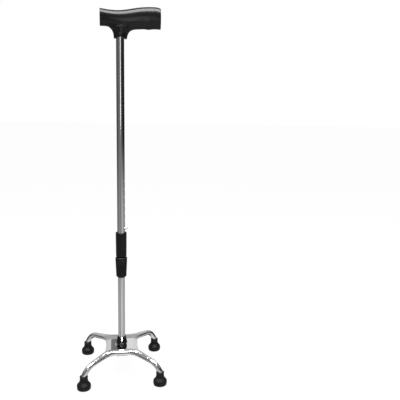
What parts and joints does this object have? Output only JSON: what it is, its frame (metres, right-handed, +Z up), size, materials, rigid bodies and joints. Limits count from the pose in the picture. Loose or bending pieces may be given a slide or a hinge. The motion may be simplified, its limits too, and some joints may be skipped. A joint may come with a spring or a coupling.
{
  "type": "quad walking cane",
  "caption": "Walking cane with a T-handle, a telescoping tube shaft with snap button and lock nut, and a four-legged plated base on rubber feet.",
  "frame": {"origin": "on the floor under the axis of the shaft, at the middle of the four feet", "axes": "+Z up along the shaft, X along the handle and the wide way of the base's tubes, front row of feet at -Y"},
  "size_m": [0.218, 0.234, 0.9136],
  "materials": {
    "black_plastic": "smooth glossy black moulded plastic",
    "grey_metal": "bright plated tube with fine lengthwise polishing lines",
    "plated_steel": "plated steel, stamped and bent, softly mirror-like",
    "weld": "plated weld bead, rippled",
    "rubber": "black satin rubber",
    "black_steel": "black coated rivet",
    "zinc_hardware": "zinc plated fastener",
    "button_steel": "drawn steel, satin",
    "spring_steel": "bare spring steel strip",
    "nylon": "natural nylon"
  },
  "bodies": {
    "upper_shaft": {"handle_grip": "black_plastic", "handle_front_cap": "black_plastic", "handle_rear_cap": "black_plastic", "handle_rivet": "black_steel", "shaft_plug": "nylon", "upper_tube": "grey_metal", "lock_sleeve": "black_plastic", "sleeve_screw": "zinc_hardware"},
    "lock_ring": {"lock_ring": "nylon"},
    "lock_nut": {"lock_nut": "black_plastic"},
    "snap_button": {"snap_button": "button_steel"},
    "base": {"lower_tube": "grey_metal", "guide_bush": "nylon", "snap_spring": "spring_steel", "base_boot": "rubber", "tube_foot_plug": "nylon", "base_bolt": "zinc_hardware", "base_washer": "zinc_hardware", "spring_washer": "zinc_hardware", "saddle_plate": "plated_steel", "front_leg_tube": "plated_steel", "rear_leg_tube": "plated_steel", "weld_beads": "weld", "foot_front_left": "rubber", "foot_front_right": "rubber", "foot_back_left": "rubber", "foot_back_right": "rubber", "foot_washers": "zinc_hardware"}
  },
  "joints": [
    {"name": "height_adjust", "type": "slide", "parent": "base", "child": "upper_shaft", "axis": [0, 0, 1], "range_m": [-0.12, 0]},
    {"name": "snap_button_press", "type": "slide", "parent": "base", "child": "snap_button", "axis": [-1, 0, 0], "range_m": [0, 0.0074], "stiffness_N_per_m": 900, "springref_m": -0.002, "deforming": ["snap_spring"]},
    {"name": "nut_turn", "type": "hinge", "parent": "lock_ring", "child": "lock_nut", "pos_m": [0, 0, 0.275], "axis": [0, 0, 1], "range_deg": [-360.5, 0]},
    {"name": "ring_travel", "type": "slide", "parent": "upper_shaft", "child": "lock_ring", "axis": [0, 0, 1], "range_m": [-0.002, 0]}
  ],
  "couplings": [
    {"joint": "nut_turn", "follows": "ring_travel", "rad_per_m": 3141.6}
  ]
}
